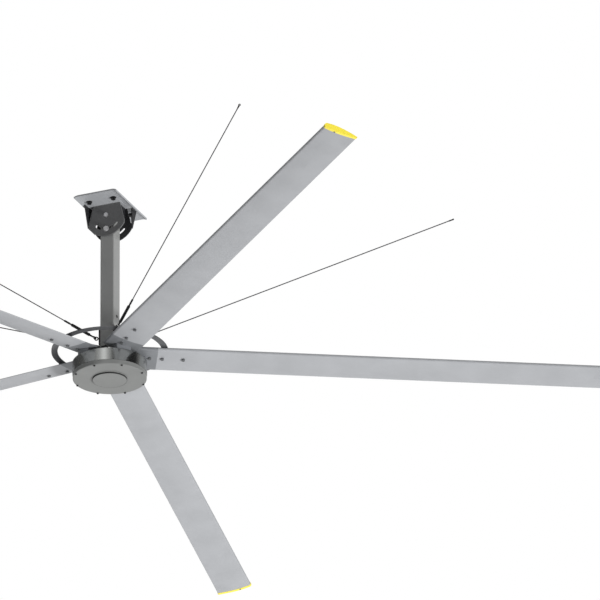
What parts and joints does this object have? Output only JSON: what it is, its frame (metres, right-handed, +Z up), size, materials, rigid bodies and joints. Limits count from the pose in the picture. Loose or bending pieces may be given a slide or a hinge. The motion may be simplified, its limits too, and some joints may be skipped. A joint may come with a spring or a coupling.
{
  "type": "industrial ceiling fan",
  "caption": "Large slow ceiling fan with long aerofoil blades round a flat hub motor on a square downrod, tilting ceiling bracket and guy wires with turnbuckles.",
  "frame": {"origin": "centre of the base plate's top face, where the plate meets the ceiling", "axes": "+Z up, so the fan hangs towards -Z; X and Y are square to the flat sides of the downrod, and the rod tilts about Y"},
  "size_m": [5.7387, 5.8218, 1.0575],
  "materials": {
    "plate_steel": "satin grey powder coat",
    "bracket_paint": "dark grey powder coat",
    "black_steel": "black oxide",
    "zinc_steel": "bright zinc plate",
    "rod_paint": "satin grey powder coat",
    "blade_aluminium": "matt anodised",
    "holder_aluminium": "matt anodised",
    "cap_yellow": "moulded",
    "hub_metal": "turned and brushed",
    "cover_paint": "satin grey",
    "ring_steel": "dark grey satin",
    "wire_steel": "stranded",
    "bearing_steel": "ground",
    "core_steel": "laminated",
    "copper_wire": "enamelled",
    "magnet_black": "nickel coated",
    "seal_rubber": "moulded",
    "shaft_steel": "ground"
  },
  "bodies": {
    "ceiling_bracket": {"base_plate": "plate_steel", "ceiling_studs": "black_steel", "stud_washers": "black_steel", "front_cheek": "bracket_paint", "rear_cheek": "bracket_paint", "cheek_stiffeners": "plate_steel", "side_wall": "bracket_paint", "pivot_bolt": "zinc_steel", "pivot_nut": "zinc_steel", "friction_washers": "seal_rubber"},
    "downrod_body": {"downrod": "rod_paint", "pivot_sleeve": "zinc_steel", "lock_bolt": "zinc_steel", "lock_nut": "zinc_steel", "lock_washers": "zinc_steel", "rod_foot": "black_steel", "foot_bolts": "black_steel", "anchor_straps": "black_steel", "wire_eyes": "black_steel", "turnbuckle_hooks": "black_steel", "motor_shaft": "shaft_steel", "shaft_nut": "black_steel", "stator_core": "core_steel", "stator_coils": "copper_wire", "upper_inner_race": "bearing_steel", "lower_inner_race": "bearing_steel"},
    "rotor": {"rotor_drum": "hub_metal", "top_cover": "hub_metal", "bottom_cover": "cover_paint", "cover_screws": "black_steel", "shaft_seal": "seal_rubber", "rotor_magnets": "magnet_black", "upper_outer_race": "bearing_steel", "lower_outer_race": "bearing_steel", "blade_holders": "holder_aluminium", "blade_bolts": "black_steel", "tip_caps": "cap_yellow", "cap_screws": "black_steel", "safety_ring": "ring_steel", "ring_spacers": "ring_steel", "ring_bolts": "black_steel", "blade_1": "blade_aluminium", "blade_2": "blade_aluminium", "blade_3": "blade_aluminium", "blade_4": "blade_aluminium", "blade_5": "blade_aluminium"},
    "bearing_balls": {"upper_balls": "bearing_steel", "lower_balls": "bearing_steel"},
    "turnbuckle_1": {"turnbuckle_barrel_1": "black_steel"},
    "guy_1": {"wire_fittings_1": "black_steel", "guy_wire_1": "wire_steel"},
    "turnbuckle_2": {"turnbuckle_barrel_2": "black_steel"},
    "guy_2": {"wire_fittings_2": "black_steel", "guy_wire_2": "wire_steel"},
    "turnbuckle_3": {"turnbuckle_barrel_3": "black_steel"},
    "guy_3": {"wire_fittings_3": "black_steel", "guy_wire_3": "wire_steel"},
    "turnbuckle_4": {"turnbuckle_barrel_4": "black_steel"},
    "guy_4": {"wire_fittings_4": "black_steel", "guy_wire_4": "wire_steel"}
  },
  "joints": [
    {"name": "rod_tilt", "type": "hinge", "parent": "ceiling_bracket", "child": "downrod_body", "pos_m": [0, 0, -0.071], "axis": [0, 1, 0], "range_deg": [-40, 40]},
    {"name": "rotor_spin", "type": "hinge", "parent": "downrod_body", "child": "rotor", "pos_m": [0, 0, -0.95], "axis": [0, 0, 1], "continuous": true},
    {"name": "ball_roll", "type": "hinge", "parent": "downrod_body", "child": "bearing_balls", "pos_m": [0, 0, -0.95], "axis": [0, 0, 1], "continuous": true},
    {"name": "turnbuckle_turn_1", "type": "hinge", "parent": "downrod_body", "child": "turnbuckle_1", "pos_m": [0.13483, -0.10234, -0.69256], "axis": [0.6973, -0.5293, 0.4833], "range_deg": [-1100, 1100]},
    {"name": "guy_slide_1", "type": "slide", "parent": "downrod_body", "child": "guy_1", "axis": [0.6973, -0.5293, 0.4833], "range_m": [-0.009, 0.009]},
    {"name": "turnbuckle_turn_2", "type": "hinge", "parent": "downrod_body", "child": "turnbuckle_2", "pos_m": [0.14472, 0.08072, -0.76278], "axis": [0.7934, 0.4425, 0.4179], "range_deg": [-1100, 1100]},
    {"name": "guy_slide_2", "type": "slide", "parent": "downrod_body", "child": "guy_2", "axis": [0.7934, 0.4425, 0.4179], "range_m": [-0.009, 0.009]},
    {"name": "turnbuckle_turn_3", "type": "hinge", "parent": "downrod_body", "child": "turnbuckle_3", "pos_m": [-0.1362, 0.10301, -0.74699], "axis": [-0.7107, 0.5375, 0.454], "range_deg": [-1100, 1100]},
    {"name": "guy_slide_3", "type": "slide", "parent": "downrod_body", "child": "guy_3", "axis": [-0.7107, 0.5375, 0.454], "range_m": [-0.009, 0.009]},
    {"name": "turnbuckle_turn_4", "type": "hinge", "parent": "downrod_body", "child": "turnbuckle_4", "pos_m": [-0.14086, -0.0784, -0.72455], "axis": [-0.7559, -0.4208, 0.5015], "range_deg": [-1100, 1100]},
    {"name": "guy_slide_4", "type": "slide", "parent": "downrod_body", "child": "guy_4", "axis": [-0.7559, -0.4208, 0.5015], "range_m": [-0.009, 0.009]}
  ],
  "couplings": [
    {"joint": "ball_roll", "follows": "rotor_spin", "ratio": 0.43},
    {"joint": "turnbuckle_turn_1", "follows": "guy_slide_1", "rad_per_m": 2094.4},
    {"joint": "turnbuckle_turn_2", "follows": "guy_slide_2", "rad_per_m": 2094.4},
    {"joint": "turnbuckle_turn_3", "follows": "guy_slide_3", "rad_per_m": 2094.4},
    {"joint": "turnbuckle_turn_4", "follows": "guy_slide_4", "rad_per_m": 2094.4}
  ]
}
